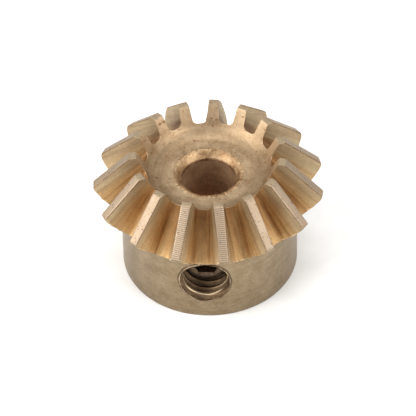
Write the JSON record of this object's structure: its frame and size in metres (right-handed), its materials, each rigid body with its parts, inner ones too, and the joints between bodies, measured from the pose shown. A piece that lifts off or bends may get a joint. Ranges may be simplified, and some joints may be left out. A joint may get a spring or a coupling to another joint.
{
  "type": "bevel gear",
  "caption": "Straight bevel gear in brass with a round hub, a dished front, a plain bore and a radial set screw that fastens it to a shaft.",
  "frame": {"origin": "centre of the bore at the hub's flat back face", "axes": "+Z along the bore from the hub's back face towards the teeth; the tapped hole for the set screw points along -Y"},
  "size_m": [0.013, 0.013, 0.008],
  "materials": {
    "brass": "machined, satin",
    "screw_steel": "black oxide"
  },
  "bodies": {
    "gear": {"bevel_gear": "brass"},
    "screw": {"set_screw": "screw_steel"}
  },
  "joints": [
    {"name": "screw_travel", "type": "slide", "parent": "gear", "child": "screw", "axis": [0, -1, 0], "range_m": [-0.0005, 0.0015]}
  ]
}
